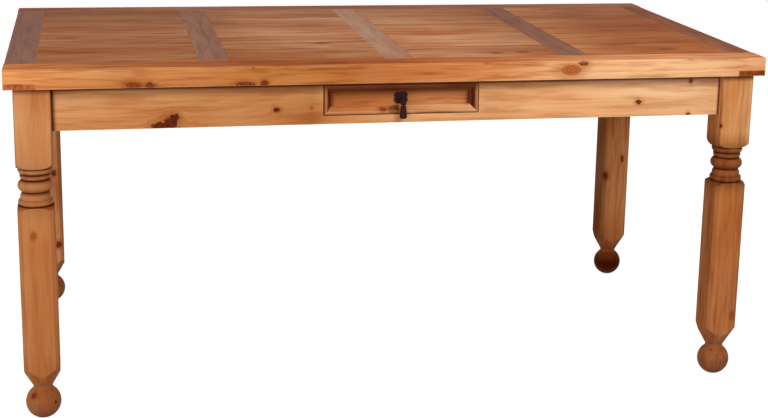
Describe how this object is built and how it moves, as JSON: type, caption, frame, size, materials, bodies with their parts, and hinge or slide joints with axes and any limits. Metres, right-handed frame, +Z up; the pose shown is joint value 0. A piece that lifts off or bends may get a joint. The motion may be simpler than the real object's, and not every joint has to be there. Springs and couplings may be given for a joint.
{
  "type": "dining table",
  "caption": "Rustic pine dining table with a framed plank top, turned legs on ball feet, plain aprons and a shallow front drawer with an iron drop pull.",
  "frame": {"origin": "on the floor, under the middle of the table top", "axes": "+X along the length to the sitter's right as seen from the drawer side, +Y from the drawer side to the rear, +Z up"},
  "size_m": [1.64, 0.88, 0.762],
  "materials": {
    "waxed_pine": "satin wax over honey stain",
    "bare_pine": "planed, unfinished",
    "black_iron": "forged, blackened",
    "zinc_steel": "zinc plated"
  },
  "bodies": {
    "table": {"corner_brace_screws": "zinc_steel", "corner_lap_screws": "zinc_steel", "drawer_closing_stops": "bare_pine", "drawer_guide_screws": "zinc_steel", "drawer_kicker": "bare_pine", "drawer_kicker_screws": "zinc_steel", "drawer_opening_stop": "bare_pine", "front_apron": "waxed_pine", "front_left_corner_brace": "bare_pine", "front_left_leg": "waxed_pine", "front_right_corner_brace": "bare_pine", "front_right_leg": "waxed_pine", "front_top_rail": "waxed_pine", "left_apron": "waxed_pine", "left_cross_rail": "waxed_pine", "left_drawer_guide": "bare_pine", "left_drawer_runner": "bare_pine", "left_end_rail": "waxed_pine", "left_middle_panel_boards": "waxed_pine", "left_panel_boards": "waxed_pine", "middle_cross_rail": "waxed_pine", "rear_apron": "waxed_pine", "rear_left_corner_brace": "bare_pine", "rear_left_leg": "waxed_pine", "rear_right_corner_brace": "bare_pine", "rear_right_leg": "waxed_pine", "rear_top_rail": "waxed_pine", "right_apron": "waxed_pine", "right_cross_rail": "waxed_pine", "right_drawer_guide": "bare_pine", "right_drawer_runner": "bare_pine", "right_end_rail": "waxed_pine", "right_middle_panel_boards": "waxed_pine", "right_panel_boards": "waxed_pine", "top_screws": "zinc_steel"},
    "drawer": {"drawer_back": "bare_pine", "drawer_bottom": "bare_pine", "drawer_frame_bottom": "waxed_pine", "drawer_frame_left": "waxed_pine", "drawer_frame_right": "waxed_pine", "drawer_frame_top": "waxed_pine", "drawer_front_board": "waxed_pine", "drawer_nails": "zinc_steel", "left_drawer_side": "bare_pine", "pull_backplate": "black_iron", "pull_nut": "zinc_steel", "pull_pin": "black_iron", "pull_post": "black_iron", "pull_washer": "zinc_steel", "right_drawer_side": "bare_pine"},
    "pull_drop": {"pull_drop": "black_iron"}
  },
  "joints": [
    {"name": "drawer_slide", "type": "slide", "parent": "table", "child": "drawer", "axis": [0, -1, 0], "range_m": [0, 0.31]},
    {"name": "pull_swing", "type": "hinge", "parent": "drawer", "child": "pull_drop", "pos_m": [0, -0.421, 0.674], "axis": [-1, 0, 0], "range_deg": [-12, 85]}
  ]
}
